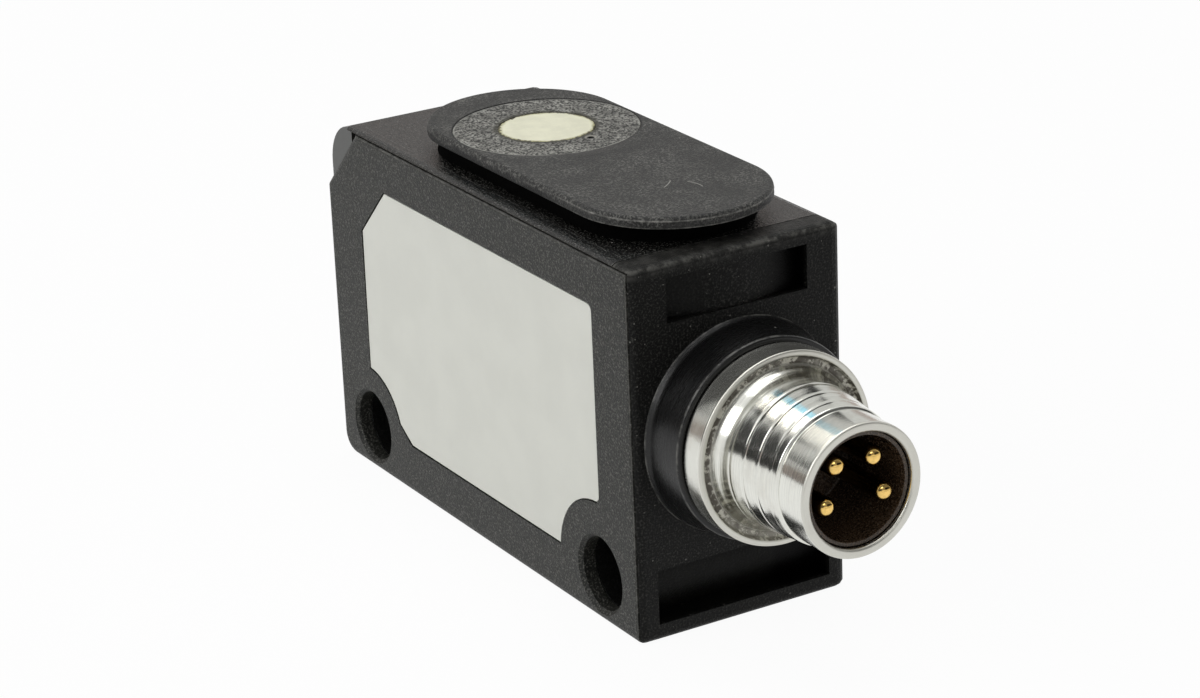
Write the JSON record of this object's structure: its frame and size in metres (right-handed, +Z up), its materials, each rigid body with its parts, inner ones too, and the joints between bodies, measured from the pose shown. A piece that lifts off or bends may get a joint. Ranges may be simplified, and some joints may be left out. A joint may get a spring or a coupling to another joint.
{
  "type": "ultrasonic sensor",
  "caption": "Compact block ultrasonic distance sensor: black housing with a raised sensing pad on top, a light window at one corner and a round threaded metal plug at the end.",
  "frame": {"origin": "middle of the housing's flat rear face, opposite the sensing pad", "axes": "+X along the length towards the plug, +Y across the width away from the label, +Z up through the sensing pad"},
  "size_m": [0.0424, 0.0126, 0.0214],
  "materials": {
    "housing_plastic": "fine grained matte black moulded plastic",
    "label_film": "satin light grey film, bare",
    "pad_rubber": "matte black rubbery coating",
    "ring_compound": "dark grey casting compound with pale specks",
    "sound_face_compound": "cream matching layer",
    "window_plastic": "grey translucent plastic",
    "cup_metal": "drawn cup",
    "silicone": "soft silicone",
    "piezo_ceramic": "fired ceramic with silvered faces",
    "foam": "open foam",
    "collar_plastic": "glossy black moulded plastic",
    "nickel": "turned brass, bright nickel plated",
    "seal_rubber": "black rubber",
    "carrier_plastic": "dark brown-black moulded plastic",
    "gold": "gold-plated brass",
    "board": "green solder resist",
    "chip": "black moulding compound",
    "ferrite": "dark ferrite",
    "capacitor_tan": "tan ceramic",
    "resonator_metal": "tinned can",
    "led_green": "tinted resin",
    "led_yellow": "tinted resin",
    "wire_brown": "wire insulation",
    "wire_white": "wire insulation",
    "wire_blue": "wire insulation",
    "wire_black": "wire insulation",
    "wire_red": "wire insulation"
  },
  "bodies": {
    "root": {"housing": "housing_plastic", "side_cover": "housing_plastic", "label_plate": "label_film", "head_plate": "housing_plastic", "light_window": "window_plastic", "sensor_pad": "pad_rubber", "transducer_ring": "ring_compound", "sound_face": "sound_face_compound", "transducer_cup": "cup_metal", "isolating_sleeve": "silicone", "piezo_disc": "piezo_ceramic", "backing_foam": "foam", "transducer_lead_1": "wire_red", "transducer_lead_2": "wire_black", "plug_collar": "collar_plastic", "plug_shell": "nickel", "plug_seal": "seal_rubber", "contact_carrier": "carrier_plastic", "contact_pin_1": "gold", "contact_pin_2": "gold", "contact_pin_3": "gold", "contact_pin_4": "gold", "plug_wire_1": "wire_brown", "plug_wire_2": "wire_white", "plug_wire_3": "wire_blue", "plug_wire_4": "wire_black", "main_board": "board", "microcontroller": "chip", "amplifier_chip": "chip", "drive_transformer": "ferrite", "voltage_regulator": "chip", "filter_capacitor": "capacitor_tan", "resonator": "resonator_metal", "ceramic_capacitors": "capacitor_tan", "resistors": "chip", "green_led": "led_green", "yellow_led": "led_yellow"}
  },
  "joints": []
}
